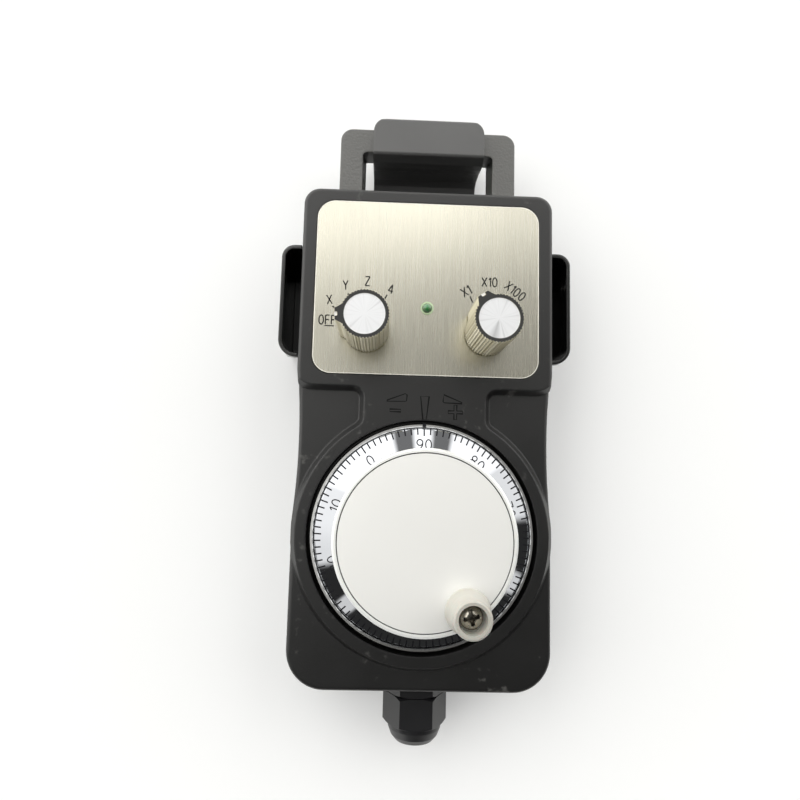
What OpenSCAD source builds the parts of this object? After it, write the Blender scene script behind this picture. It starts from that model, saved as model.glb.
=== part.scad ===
// Hand-held pulse generator with a 60 mm handwheel, hanging in its wall holder.
// Origin: centre of the holder's screw pattern on its back face.
// +Z is the way the controls face, +Y runs from the cable gland to the hook.

/* [Case] */
// Width of the case
case_w = 70; // [66:0.2:74]
// Length of the case
case_len = 135.8; // [132:0.2:140]
// Thickness of the case, front to back
case_t = 25; // [24:0.5:32]
// Depth of the front shell, down to the joint line
front_shell_t = 10; // [9.6:0.2:11]
// Wall thickness of both shells
wall = 2.2; // [1.8:0.1:2.6]
// Radius of the two corners beside the loop
top_corner_r = 4.5; // [3:0.5:6]
// Radius of the two corners beside the cable gland
bottom_corner_r = 10.2; // [7:0.1:11]
// How far each side is drawn in at the waist
waist_depth = 1; // [0.5:0.1:2]
// Rounding of the case's outer edges
edge_r = 1; // [0.6:0.1:1.5]
// Height of the raised control face above the shoulders
plateau_h = 2; // [1:0.1:2.4]
// Width of the bevel round the raised face
bevel_w = 1.3; // [0.6:0.1:1.6]
// Width of the neck between the panel field and the dial collar
neck_w = 33; // [28:0.5:40]
// Radius of the dial collar at its top edge
collar_r = 33.8; // [33.2:0.1:34.4]

/* [Control panel] */
// Width of the steel panel
panel_w = 62; // [58:0.5:63]
// Height of the steel panel
panel_h = 48.7; // [44:0.1:49]
// Thickness of the steel panel
panel_t = 1; // [0.8:0.1:1.2]
// Corner radius of the steel panel
panel_r = 5; // [3:0.5:8]
// Distance of each selector from the middle line
selector_x = 16.5; // [15:0.5:18]
// Radius of a selector knob
knob_r = 6.2; // [6:0.1:7]
// Height of a selector knob
knob_h = 18; // [15:0.5:19]
// Number of flutes round a selector knob
knob_flutes = 80; // [40:1:90]

/* [Handwheel] */
// Outside diameter of the fixed ring round the dial
dial_d = 60; // [60:0.1:60.4]
// Radius of the wheel's rim
wheel_r = 23.05; // [22:0.05:24]
// Height of the wheel's face above the case front
wheel_h = 12.4; // [11:0.1:14]
// Number of flutes round the wheel
wheel_flutes = 72; // [48:1:90]
// Distance of the crank grip from the wheel's axis
grip_arm = 19.4; // [17:0.1:19.6]
// Direction of the crank grip at rest, degrees from +X
grip_angle = -56.8; // [-180:0.1:180]
// Height of the crank grip
grip_h = 9; // [8:0.1:12]

/* [Holder] */
// Thickness of the holder's back plate
holder_t = 3; // [2.5:0.5:4]
// Width of the holder between the outsides of its cheeks
cheek_span = 82.4; // [80:0.2:86]
// Length of the cheeks along the case
cheek_len = 32.2; // [28:0.2:40]
// Wall thickness of the cheeks
cheek_t = 1; // [0.8:0.1:2]
// Width of the hook
hook_w = 32.7; // [28:0.1:34]
// Spacing of the wall screws across the holder
screw_pitch_x = 30; // [24:1:36]
// Spacing of the wall screws along the holder
screw_pitch_y = 40; // [36:1:60]

/* [Cable gland] */
// Size of the gland's hexagons across their flats
gland_af = 15.5; // [14:0.5:18]
// Bore of the gland's seal
gland_bore = 6; // [4:0.5:6.5]

/* [Hidden] */
$fn = 64;
eps = 0.01;
seam = 0.02;                                    // keeps rounded corners just short of tangent

run_gap = 0.3;                                  // between the case and the holder plate
back_z = holder_t + run_gap;                    // back of the case
front_z = back_z + case_t;                      // raised control face of the case
dial_y = -64;                                   // dial axis
case_top = 31.4;                                // end of the case beside the loop
case_bottom = case_top - case_len;
case_hw = case_w / 2;
split_z = -front_shell_t;                       // joint line, below the control face
waist_y = 24;                                   // middle of the waist, above the dial axis
waist_half = 20;                                // half the length of the waist curve
waist_r = (waist_half * waist_half + waist_depth * waist_depth) / (2 * waist_depth);
shoulder_y = 39.8;                              // edge of the panel field, above the dial axis
field_corner_x = 30.7;                          // where that edge starts to curve up
field_corner_r = 4.9;
pocket_r = dial_d / 2 + 0.8;                    // round pocket that holds the dial
pocket_z = -5;                                  // floor of that pocket
encoder_r = 25.2;                               // barrel of the encoder
panel_y = 67.3;                                 // middle of the panel, above the dial axis
selector_y = 55;                                // selector axes, above the dial axis
led_y = 61.7;                                   // lamp, above the dial axis
led_r = 1.35;
knob_rim = 0.88;                                // black rim round a knob's cap
switch_r = 9;                                   // body of a rotary switch
bush_r = 3.5;                                   // threaded bush of a rotary switch
spindle_r = 3;                                  // spindle of a rotary switch
axis_angle = 92;                                // pointer of the axis knob, from +Y
multiplier_angle = 35;                          // pointer of the multiplier knob, from +Y
shaft_r = 4;                                    // encoder shaft
race_r = 8;                                     // outside of the bearings
ball_path_r = 6.1;
ball_r = 0.95;
bearing_w = 3.5;
front_bearing_z = -8.2;                         // lower face of the front bearing
rear_bearing_z = -13.5;                         // lower face of the rear bearing
rim_post_r = 21.3;                              // posts that carry the sensor board
grip_top = wheel_h + 0.3 + grip_h;
case_screw_x = 28.2;
case_screw_y = [86.5, -32];                     // above the dial axis
loop_hw = 26.2;                                 // half width of the hanging loop
loop_bar = 7;                                   // width of the loop's bar
loop_leg = 6.7;                                 // width of the loop's legs
loop_draft = 0.8;                               // draft of its opening
leg_y = 93;                                     // start of its legs, inside the case's end
loop_z = [-17.2, -10.3];                        // back and front of the loop
loop_top = 118.9;                               // end of the loop, above the dial axis
lip_z = -6.35;                                  // front of the hook's lip
lip_top = 120.6;                                // tip of the hook's lip
shelf_y = 111.5;                                // shelf that the loop's bar hangs on
arm_under = 109.2;                              // under side of the hook's arm
cheek_z = -4.4;                                 // rim of the cheeks
cheek_lean = 4.5;                               // how far their ends lean in at the plate
gland_z = -16.3;                                 // gland axis, below the control face
gland_hole_r = 5.1;
board_z = -21.4;                                // under side of the terminal board

// ---- shared shapes -------------------------------------------------------

// Moves to the dial axis, at the level of the control face.
module at_dial() translate([0, dial_y, front_z]) children();

// Plan of the case, drawn in by an inset, with its waist.
module case_plan(inset = 0) {
    hw = case_hw - inset;
    top = case_top - dial_y - inset;
    bottom = case_bottom - dial_y + inset;
    rt = max(top_corner_r - inset, 0.5);
    rb = bottom_corner_r - inset;
    difference() {
        union() {
            translate([-hw, bottom + rb]) square([2 * hw, top - bottom - rt - rb]);
            translate([-hw + rt, top - rt - eps]) square([2 * (hw - rt), rt + eps]);
            translate([-hw + rb, bottom]) square([2 * (hw - rb), rb + eps]);
            for (s = [-1, 1]) {
                translate([s * (hw - rt), top - rt]) circle(rt);
                translate([s * (hw - rb), bottom + rb]) circle(rb);
            }
        }
        for (s = [-1, 1])
            translate([s * (case_hw - waist_depth + waist_r - inset), waist_y])
                circle(waist_r, $fn = 360);
    }
}

// Rectangle with round corners, centred.
module round_rect(w, h, r) {
    square([w - 2 * r, h], center = true);
    square([w, h - 2 * r], center = true);
    for (sx = [-1, 1], sy = [-1, 1])
        translate([sx * (w / 2 - r), sy * (h / 2 - r)]) circle(r);
}

// A tube or disc about the local Z axis.
module tube(r_out, r_in, z0, z1) {
    translate([0, 0, z0]) difference() {
        cylinder(r = r_out, h = z1 - z0);
        if (r_in > 0) translate([0, 0, -eps]) cylinder(r = r_in, h = z1 - z0 + 2 * eps);
    }
}

// Solid turned from a list of [radius, height] corners.
module turned(points) rotate_extrude() polygon(points);

// Outline with straight-sided flutes, drawn between two radii.
module fluted(r_out, r_in, count) {
    step = 360 / count;
    polygon([for (i = [0 : count - 1], k = [0 : 1])
        let (a = (i + k / 2) * step, r = k == 0 ? r_out : r_in) [r * cos(a), r * sin(a)]]);
}

// Pan-head screw along +Z with its head under z = 0.
module pan_screw(shank_r, shank_l, head_r, head_h, recess_r) {
    difference() {
        union() {
            cylinder(r = shank_r, h = shank_l);
            translate([0, 0, -head_h]) cylinder(r = head_r, h = head_h);
        }
        for (a = [0, 90]) rotate(a)
            translate([-recess_r, -recess_r / 5, -head_h - eps])
                cube([2 * recess_r, recess_r / 2.5, head_h * 0.6]);
    }
}

// Places something at each of the case screws.
module at_case_screws() {
    for (s = [-1, 1], y = case_screw_y) translate([s * case_screw_x, y, 0]) children();
}

// Places something at three posts round the dial axis.
module at_three(radius, start) {
    for (i = [0 : 2]) rotate(start + 120 * i) translate([radius, 0, 0]) children();
}

// ---- wall holder ---------------------------------------------------------

// Side view of the hook in (y, z), from the dial axis and the control face.
module hook_profile() {
    back = -case_t - run_gap - holder_t;
    plate = back + holder_t;
    lip_t = 3.2;
    polygon([[arm_under - 14, back], [lip_top, back], [lip_top, plate], [shelf_y, plate],
             [shelf_y, lip_z - lip_t], [lip_top - 1, lip_z - lip_t], [lip_top, lip_z - lip_t + 1],
             [lip_top, lip_z - 0.5], [lip_top - 0.5, lip_z], [arm_under + 0.9, lip_z],
             [arm_under + 0.3, lip_z - 0.3], [arm_under, lip_z - 1], [arm_under - 0.9, lip_z - lip_t],
             [arm_under - 0.8, lip_z - lip_t - 3], [arm_under, lip_z - lip_t - 7],
             [arm_under, plate + 3], [arm_under - 0.9, plate + 0.9], [arm_under - 3, plate],
             [arm_under - 14, plate]]);
}

// Front view of the hook: full width, with the lip's two corners rounded.
module hook_front() {
    corner = 4;
    bottom = arm_under - 14;
    translate([0, (lip_top + bottom) / 2]) round_rect(hook_w, lip_top - bottom, corner);
    translate([-hook_w / 2, bottom]) square([hook_w, 12]);
}

// Plan of the holder's back plate.
module plate_plan() {
    wide = 46;
    low = 2;
    high = 92;
    translate([0, (low + high) / 2]) round_rect(wide, high - low, 5);
    polygon([[-wide / 2 + 1, high - 8], [wide / 2 - 1, high - 8],
             [hook_w / 2, high + 13], [-hook_w / 2, high + 13]]);
    translate([-hook_w / 2, high]) square([hook_w, arm_under - high + 2]);
}

// Plan of the block that the cheeks are cut from; its corners are rounder at the gland's end.
module cheek_plan(inset) {
    w = cheek_span - 2 * inset;
    l = cheek_len - 2 * inset;
    for (s = [-1, 1]) intersection() {
        round_rect(w, l, (s < 0 ? 5 : 3.6) - inset);
        translate([-w, s < 0 ? -l : -eps]) square([2 * w, l + eps]);
    }
}

// Both cheeks as one block on the back plate, with ends that lean in towards it.
module cheek_block(height, inset) {
    // straight part of the ends, next to the rim
    land = 1.5;
    half = cheek_len / 2 - inset;
    slope_top = (height - land) * (1 + 1 / cheek_lean);
    intersection() {
        linear_extrude(height) cheek_plan(inset);
        rotate([90, 0, 90]) translate([0, 0, -cheek_span]) linear_extrude(2 * cheek_span)
            polygon([[cheek_lean - half, 0], [half - cheek_lean, 0],
                     [half + 1, slope_top], [-half - 1, slope_top]]);
    }
}

module wall_holder() {
    depth = case_t + run_gap + holder_t;
    mid = -dial_y;
    color([0.16, 0.16, 0.17]) difference() {
        at_dial() union() {
            translate([0, 0, -depth]) linear_extrude(holder_t) plate_plan();
            intersection() {
                rotate([90, 0, 90]) translate([0, 0, -hook_w / 2])
                    linear_extrude(hook_w) hook_profile();
                translate([0, 0, -depth]) linear_extrude(depth) hook_front();
            }
            translate([0, mid, -depth]) difference() {
                cheek_block(depth + cheek_z, 0);
                intersection() {
                    translate([0, 0, eps]) cheek_block(depth + cheek_z, cheek_t);
                    translate([-case_w, -case_w, holder_t]) cube([2 * case_w, 2 * case_w, depth]);
                }
                translate([-case_hw - 0.7, -cheek_len, holder_t])
                    cube([case_w + 1.4, 2 * cheek_len, depth]);
            }
        }
        for (sx = [-1, 1], sy = [-1, 1])
            translate([sx * screw_pitch_x / 2, sy * screw_pitch_y / 2, -eps]) {
                cylinder(r = 2.2, h = holder_t + 2 * eps);
                translate([0, 0, holder_t - 1.4]) cylinder(r1 = 2.2, r2 = 4.2, h = 1.42);
            }
    }
}

// ---- case ----------------------------------------------------------------

// Section of what the rounding takes off an edge that lies at the origin.
module edge_waste() {
    difference() {
        translate([-edge_r, -edge_r]) square(2 * edge_r);
        translate([-edge_r, -edge_r]) circle(edge_r);
    }
}

// The same all round the case's plan, for an edge at z = 0.
module case_edge_waste() {
    top = case_top - dial_y;
    bottom = case_bottom - dial_y;
    waist_angle = asin((waist_half + 1) / waist_r);
    for (s = [0, 1]) mirror([s, 0, 0]) {
        translate([case_hw, top - top_corner_r, 0]) rotate([90, 0, 0])
            linear_extrude(case_len - top_corner_r - bottom_corner_r) edge_waste();
        translate([case_hw - top_corner_r, top - top_corner_r, 0])
            rotate_extrude(angle = 90) translate([top_corner_r, 0]) edge_waste();
        translate([case_hw - bottom_corner_r, bottom + bottom_corner_r, 0]) rotate(-90)
            rotate_extrude(angle = 90) translate([bottom_corner_r, 0]) edge_waste();
        translate([case_hw - waist_depth + waist_r, waist_y, 0]) rotate(180 - waist_angle)
            rotate_extrude(angle = 2 * waist_angle, $fn = 360)
                translate([waist_r, 0]) mirror([1, 0]) edge_waste();
    }
    translate([0, top, 0]) rotate([90, 0, 90])
        linear_extrude(2 * (case_hw - top_corner_r), center = true) edge_waste();
    translate([0, bottom, 0]) mirror([0, 1, 0]) rotate([90, 0, 90])
        linear_extrude(2 * (case_hw - bottom_corner_r), center = true) edge_waste();
}

// Prism on the case plan whose far edge is rounded.
module case_prism(height) {
    difference() {
        linear_extrude(height) case_plan();
        translate([0, 0, height]) case_edge_waste();
    }
}

// Bevelled disc, down to the joint line: a convex corner of the raised face.
module bevelled_disc(r) {
    turned([[0, split_z], [r + bevel_w, split_z], [r + bevel_w, -plateau_h], [r, 0], [0, 0]]);
}

// Fills the corner between two bevelled edges: a wedge seen from its centre, less a cone.
module bevelled_fillet(r, wedge) {
    top = r - seam;
    difference() {
        translate([0, 0, split_z]) linear_extrude(front_shell_t) polygon(wedge);
        turned([[0, split_z - 1], [top - bevel_w, split_z - 1], [top - bevel_w, -plateau_h],
                [top, 0], [top, 1], [0, 1]]);
    }
}

// The raised face before it is cut to the case: panel field, neck and dial collar.
module raised_face() {
    field_top = case_top - dial_y + 1;
    flare = 3.2;
    reach = flare + 1;
    neck_hw = neck_w / 2;
    centre_x = neck_hw + flare;
    centre_y = sqrt(pow(collar_r + flare, 2) - pow(centre_x, 2));
    to_dial = -[centre_x, centre_y] / (collar_r + flare);
    bevelled_disc(collar_r);
    translate([0, shoulder_y + 1, 0]) rotate([90, 0, 0]) linear_extrude(shoulder_y + 1)
        polygon([[-neck_hw, 0], [-neck_hw - bevel_w, -plateau_h], [-neck_hw - bevel_w, split_z],
                 [neck_hw + bevel_w, split_z], [neck_hw + bevel_w, -plateau_h], [neck_hw, 0]]);
    rotate([90, 0, 90]) linear_extrude(2 * field_corner_x, center = true)
        polygon([[shoulder_y, 0], [shoulder_y - bevel_w, -plateau_h],
                 [shoulder_y - bevel_w, split_z], [field_top, split_z], [field_top, 0]]);
    translate([-case_hw - 1, shoulder_y + field_corner_r, split_z])
        cube([case_w + 2, field_top - shoulder_y - field_corner_r, front_shell_t]);
    for (s = [0, 1]) mirror([s, 0, 0]) {
        translate([field_corner_x, shoulder_y + field_corner_r, 0])
            bevelled_disc(field_corner_r - seam);
        translate([centre_x, shoulder_y - flare, 0])
            bevelled_fillet(flare, [[0, 0], [-reach, 0], [-reach, reach], [0, reach]]);
        translate([centre_x, centre_y, 0])
            bevelled_fillet(flare, [[0, 0], [-reach, 0], [-reach, -reach], reach * to_dial]);
    }
}

module front_case() {
    skin = 2.4;
    color([0.2, 0.2, 0.21]) at_dial() difference() {
        union() {
            difference() {
                union() {
                    translate([0, 0, split_z]) case_prism(front_shell_t - plateau_h);
                    intersection() {
                        translate([0, 0, split_z]) case_prism(front_shell_t);
                        raised_face();
                    }
                }
                translate([0, 0, split_z - eps])
                    linear_extrude(front_shell_t - plateau_h - skin + eps) case_plan(wall);
            }
            tube(pocket_r + 1.8, 0, split_z + 3, -1);
            at_case_screws() tube(3.6, 0, split_z, -3);
        }
        translate([0, 0, pocket_z]) cylinder(r = pocket_r, h = 10, $fn = 128);
        translate([0, 0, split_z - 1]) cylinder(r = encoder_r + 0.2, h = 10);
        at_three(27.8, 30) translate([0, 0, split_z - 1]) cylinder(r = 1.3, h = 10);
        translate([0, panel_y, -0.8]) linear_extrude(2)
            round_rect(panel_w + 0.3, panel_h + 0.3, panel_r + 0.15);
        for (s = [-1, 1]) translate([s * selector_x, selector_y, 0]) {
            translate([0, 0, -5]) cylinder(r = bush_r + 0.1, h = 10);
            translate([0, 0, -5]) cylinder(r = switch_r + 1, h = 2.6);
        }
        translate([0, led_y, -6]) cylinder(r = led_r + 0.6, h = 10);
        at_case_screws() translate([0, 0, split_z - 1]) cylinder(r = 1.5, h = 6.5);
    }
}

// Opening of the hanging loop: its sides come in towards the back by the mould's draft.
module loop_window() {
    half = loop_hw - loop_leg;
    low = leg_y - 8;
    high = loop_top - loop_bar;
    // the slopes run on past both faces of the loop
    over = 1;
    lean = loop_draft / (loop_z[1] - loop_z[0]) * over;
    back = [loop_z[0] - over, half - loop_draft - lean];
    front = [loop_z[1] + over, half + lean];
    intersection() {
        translate([0, (low + high) / 2, back[0]]) linear_extrude(front[0] - back[0])
            round_rect(2 * (front[1] + seam), high - low, 1.6);
        translate([0, high + 1, 0]) rotate([90, 0, 0]) linear_extrude(high - low + 2)
            polygon([[-back[1], back[0]], [back[1], back[0]],
                     [front[1], front[0]], [-front[1], front[0]]]);
    }
}

module rear_case() {
    depth = case_t - front_shell_t;
    color([0.18, 0.18, 0.19]) at_dial() difference() {
        union() {
            difference() {
                translate([0, 0, split_z]) mirror([0, 0, 1]) case_prism(depth);
                translate([0, 0, wall - case_t])
                    linear_extrude(depth) case_plan(wall);
            }
            at_case_screws() tube(4.2, 0, 0.6 - case_t, split_z);
            for (sx = [-1, 1], sy = [38, 84])
                translate([sx * 21, sy, 0]) tube(2.6, 0, 1 - case_t, board_z);
            difference() {
                translate([0, (leg_y + loop_top) / 2, loop_z[0]])
                    linear_extrude(loop_z[1] - loop_z[0])
                        round_rect(2 * loop_hw, loop_top - leg_y, 3.6);
                loop_window();
            }
        }
        // keeps the loop's legs out of the inside
        translate([0, 0, wall - case_t]) linear_extrude(depth - wall) difference() {
            case_plan(wall);
            at_case_screws() circle(4.2);
            for (sx = [-1, 1], sy = [38, 84]) translate([sx * 21, sy]) circle(2.6);
        }
        translate([0, 0, split_z - 0.8]) linear_extrude(2) difference() {
            case_plan(0.7);
            case_plan(1.6);
        }
        at_case_screws() {
            translate([0, 0, -case_t - 1]) cylinder(r = 1.65, h = case_t);
            translate([0, 0, -case_t - 1]) cylinder(r = 3, h = 3.6);
        }
        for (sx = [-1, 1], sy = [38, 84])
            translate([sx * 21, sy, -case_t + wall]) cylinder(r = 1.05, h = 5);
        translate([0, case_bottom - dial_y - 1, gland_z]) rotate([-90, 0, 0])
            cylinder(r = gland_hole_r + 0.15, h = wall + 2);
    }
}

module case_seal() {
    color([0.1, 0.1, 0.1]) at_dial() translate([0, 0, split_z - 0.8])
        linear_extrude(0.8) difference() {
            case_plan(0.75);
            case_plan(1.55);
        }
}

module case_screws() {
    color([0.6, 0.6, 0.62]) at_dial() at_case_screws()
        translate([0, 0, 2.6 - case_t]) pan_screw(1.45, case_t - 8.4, 2.75, 1.8, 1.5);
}

// ---- control panel -------------------------------------------------------

module control_panel() {
    color([0.75, 0.73, 0.68]) at_dial() translate([0, 0, -0.8]) difference() {
        translate([0, panel_y, 0]) linear_extrude(panel_t)
            round_rect(panel_w, panel_h, panel_r);
        for (s = [-1, 1]) translate([s * selector_x, selector_y, -1])
            cylinder(r = bush_r + 0.1, h = 4);
        translate([0, led_y, -1]) cylinder(r = led_r + 0.28, h = 4);
    }
}

module led_bezel() {
    color([0.8, 0.8, 0.78]) at_dial() translate([0, led_y, 0]) difference() {
        union() {
            tube(led_r + 0.25, 0, -4, 0.2);
            tube(led_r + 0.45, 0, 0.2, 0.45);
        }
        translate([0, 0, -5]) cylinder(r = led_r, h = 6);
    }
}

module led_lens() {
    dome = led_r - 0.05;
    color([0.35, 0.75, 0.35]) at_dial() translate([0, led_y, 0]) {
        tube(dome, 0, -5, 0.3);
        translate([0, 0, 0.3]) intersection() {
            sphere(dome, $fn = 32);
            cylinder(r = 3, h = 3);
        }
        for (x = [-0.6, 0.6]) translate([x, 0, -9]) cylinder(r = 0.25, h = 4 + eps, $fn = 16);
    }
}

// ---- selectors -----------------------------------------------------------

module at_selector(side) at_dial() translate([side * selector_x, selector_y, 0]) children();

// Rotary switch with its bush and a ring of solder lugs.
module switch_body(side) {
    at_selector(side) difference() {
        union() {
            tube(switch_r, 0, -12.6, -2.4);
            tube(bush_r, 0, -2.4, 4.2);
            for (i = [0 : 11]) rotate(30 * i) translate([6.4, -0.6, -15.6])
                cube([0.5, 1.2, 3.1]);
        }
        translate([0, 0, -11.4]) cylinder(r = spindle_r + 0.05, h = 20);
        translate([0, 0, -11.4]) cylinder(r = 5.2, h = 3.2);
    }
}

module switch_nut(side) {
    at_selector(side) difference() {
        translate([0, 0, 0.2]) cylinder(r = 5.1, h = 2, $fn = 6);
        cylinder(r = bush_r, h = 5);
    }
}

// Spindle with its contact rotor, and the flat that drives the knob.
module switch_shaft(side, angle) {
    at_selector(side) rotate(angle) difference() {
        union() {
            tube(spindle_r, 0, -11.2, 15);
            tube(5, 0, -11, -8.6);
        }
        translate([-5, -spindle_r - 3.4, 5]) cube([10, 4, 12]);
    }
}

// Fluted knob with a two-pronged pointer and a groove between the prongs.
module knob(side, angle) {
    base = 1.2;
    flute_depth = 0.3;
    at_selector(side) rotate(angle) difference() {
        union() {
            translate([0, 0, base]) linear_extrude(knob_h - 0.2)
                fluted(knob_r, knob_r - flute_depth, knob_flutes);
            translate([0, 0, base]) linear_extrude(knob_h - 0.2)
                polygon([[-2.5, 4], [2.5, 4], [2.3, 5.8], [1.45, 7.35], [0.6, 7.35], [0.5, 6.7],
                         [-0.5, 6.7], [-0.6, 7.35], [-1.45, 7.35], [-2.3, 5.8]]);
        }
        translate([0, 0, base + 1.2]) tube(knob_r + 2, knob_r - 0.45, 0, 0.25);
        translate([0, 0, base - eps]) cylinder(r = 5.3, h = 3.8);
        translate([0, 0, base]) difference() {
            cylinder(r = spindle_r + 0.02, h = 14.2);
            translate([-5, -spindle_r - 3.4, 3.8]) cube([10, 4, 12]);
        }
        translate([0, 0, base + knob_h - 1.2]) cylinder(r = knob_r - knob_rim, h = 2);
        translate([0, 0, 9]) rotate([90, 0, 0]) cylinder(r = 1.25, h = 10);
    }
}

module knob_cap(side) {
    top = 1.2 + knob_h;
    at_selector(side) tube(knob_r - knob_rim - 0.02, 0, top - 1.2, top - 0.3);
}

module knob_set_screw(side, angle) {
    at_selector(side) rotate(angle) translate([0, -2.62, 9]) rotate([90, 0, 0]) difference() {
        cylinder(r = 1.23, h = 2.8);
        translate([-1.5, -0.2, 2.2]) cube([3, 0.4, 1]);
    }
}

module axis_switch_body() color([0.15, 0.2, 0.35]) switch_body(-1);
module axis_switch_nut() color([0.75, 0.75, 0.75]) switch_nut(-1);
module axis_switch_shaft() color([0.8, 0.8, 0.8]) switch_shaft(-1, axis_angle);
module axis_knob() color([0.12, 0.12, 0.12]) knob(-1, axis_angle);
module axis_knob_cap() color([0.88, 0.88, 0.88]) knob_cap(-1);
module axis_knob_set_screw() color([0.3, 0.3, 0.3]) knob_set_screw(-1, axis_angle);
module multiplier_switch_body() color([0.15, 0.2, 0.35]) switch_body(1);
module multiplier_switch_nut() color([0.75, 0.75, 0.75]) switch_nut(1);
module multiplier_switch_shaft() color([0.8, 0.8, 0.8]) switch_shaft(1, multiplier_angle);
module multiplier_knob() color([0.12, 0.12, 0.12]) knob(1, multiplier_angle);
module multiplier_knob_cap() color([0.88, 0.88, 0.88]) knob_cap(1);
module multiplier_knob_set_screw() color([0.3, 0.3, 0.3]) knob_set_screw(1, multiplier_angle);

// ---- encoder -------------------------------------------------------------

// Fixed bright ring round the dial, with its index notch.
module bezel_ring() {
    r = dial_d / 2;
    inner = r - 1.05;
    color([0.85, 0.85, 0.86]) at_dial() difference() {
        turned([[inner, pocket_z + 1.2], [r, pocket_z + 1.2], [r, -0.9], [r - 0.35, -0.45],
                [inner + 0.2, -0.45], [inner, -0.6]]);
        translate([-0.5, inner - 1, -0.6]) cube([1, 3, 1]);
    }
}

module encoder_housing() {
    color([0.55, 0.56, 0.58]) at_dial() difference() {
        union() {
            tube(dial_d / 2 - 0.6, 0, pocket_z, pocket_z + 1.2);
            tube(encoder_r, 0, -7.2, pocket_z);
            tube(10, 0, rear_bearing_z, pocket_z);
            tube(encoder_r, encoder_r - 1.6, -20.6, -7);
            intersection() {
                at_three(rim_post_r + 1, 90) tube(2.9, 0, -19.4, -7);
                tube(encoder_r - 1, 0, -20, -6);
            }
        }
        translate([0, 0, rear_bearing_z - 1])
            cylinder(r = race_r + 0.02, h = front_bearing_z + bearing_w - rear_bearing_z + 1);
        translate([0, 0, -10]) cylinder(r = 6.2, h = 10);
        at_three(27.8, 30) translate([0, 0, -10]) cylinder(r = 1.3, h = 10);
        at_three(rim_post_r, 90) translate([0, 0, -21]) cylinder(r = 0.95, h = 7);
    }
}

module encoder_screws() {
    color([0.7, 0.7, 0.7]) at_dial() at_three(27.8, 30)
        translate([0, 0, split_z + 3]) pan_screw(1.25, 3, 2.2, 1.5, 1.2);
}

// One ball race: the ring between two radii, less the ball track.
module race(r_in, r_out, z) {
    translate([0, 0, z]) rotate_extrude() difference() {
        translate([r_in, 0]) square([r_out - r_in, bearing_w]);
        translate([ball_path_r, bearing_w / 2]) circle(ball_r + 0.05);
    }
}

module front_bearing_outer() color([0.7, 0.7, 0.72]) at_dial()
    race(ball_path_r + 0.6, race_r, front_bearing_z);
module rear_bearing_outer() color([0.7, 0.7, 0.72]) at_dial()
    race(ball_path_r + 0.6, race_r, rear_bearing_z);
module front_bearing_inner() color([0.7, 0.7, 0.72]) at_dial()
    race(shaft_r + 0.01, ball_path_r - 0.6, front_bearing_z);
module rear_bearing_inner() color([0.7, 0.7, 0.72]) at_dial()
    race(shaft_r + 0.01, ball_path_r - 0.6, rear_bearing_z);

module bearing_balls() {
    color([0.85, 0.85, 0.86]) at_dial()
        for (z = [front_bearing_z, rear_bearing_z], i = [0 : 7])
            rotate(45 * i) translate([ball_path_r, 0, z + bearing_w / 2])
                sphere(ball_r, $fn = 24);
}

module bearing_spacer() {
    color([0.6, 0.6, 0.6]) at_dial()
        tube(5.4, shaft_r + 0.01, rear_bearing_z + bearing_w, front_bearing_z);
}

// Shaft: shoulder above the front bearing, clip groove below the rear one.
module wheel_shaft() {
    clip_z = rear_bearing_z - 0.8;
    color([0.75, 0.75, 0.76]) at_dial() difference() {
        union() {
            tube(shaft_r, 0, -18.6, 8.3);
            tube(5.4, 0, front_bearing_z + bearing_w, -3.2);
        }
        tube(5, 3.4, clip_z, clip_z + 0.8);
        translate([0, 0, 0.5]) cylinder(r = 2.02, h = 10);
    }
}

module shaft_clip() {
    color([0.4, 0.4, 0.42]) at_dial() difference() {
        tube(6.2, 3.42, rear_bearing_z - 0.75, rear_bearing_z - 0.02);
        translate([0, -2, rear_bearing_z - 2]) cube([8, 4, 4]);
    }
}

// Star wheel that gives the hundred clicks of a turn.
module detent_wheel() {
    color([0.72, 0.6, 0.35]) at_dial() translate([0, 0, -15.6]) difference() {
        linear_extrude(1) fluted(14.6, 14, 100);
        translate([0, 0, -1]) cylinder(r = shaft_r + 0.01, h = 4);
    }
}

// Leaf spring on the board side, bent up to a nose that rides on the star wheel.
module detent_spring() {
    color([0.8, 0.7, 0.45]) at_dial() rotate(150) {
        translate([14.75, -0.6, -15.6]) cube([4.6, 1.2, 1]);
        translate([18.95, -6, -15.6]) cube([0.4, 12, 1]);
        for (s = [-1, 1]) translate([19.35, s * 6 - 0.5, -15.6]) cube([2.2, 1, 1]);
        translate([21.45, -6.5, -19.4]) cube([0.4, 13, 4.8]);
    }
}

module code_disc() {
    slots = 50;
    color([0.8, 0.85, 0.88]) at_dial() translate([0, 0, -17.5]) difference() {
        cylinder(r = 18.6, h = 0.4);
        translate([0, 0, -1]) cylinder(r = 5.02, h = 3);
        for (i = [0 : slots - 1]) rotate(i * 360 / slots)
            translate([15.6, -0.35, -1]) cube([1.6, 0.7, 3]);
    }
}

module disc_hub() {
    color([0.7, 0.7, 0.7]) at_dial() difference() {
        union() {
            tube(7, 0, -17.1, -15.6);
            tube(5, 0, -18.4, -17.1);
        }
        translate([0, 0, -20]) cylinder(r = shaft_r + 0.01, h = 8);
    }
}

// Forked light gate that straddles the code disc.
module optical_sensor() {
    color([0.12, 0.12, 0.14]) at_dial() rotate(30) difference() {
        translate([14.9, -4, -19.4]) cube([6.6, 8, 3.6]);
        translate([14, -5, -18]) cube([5.4, 10, 1.4]);
    }
}

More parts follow.
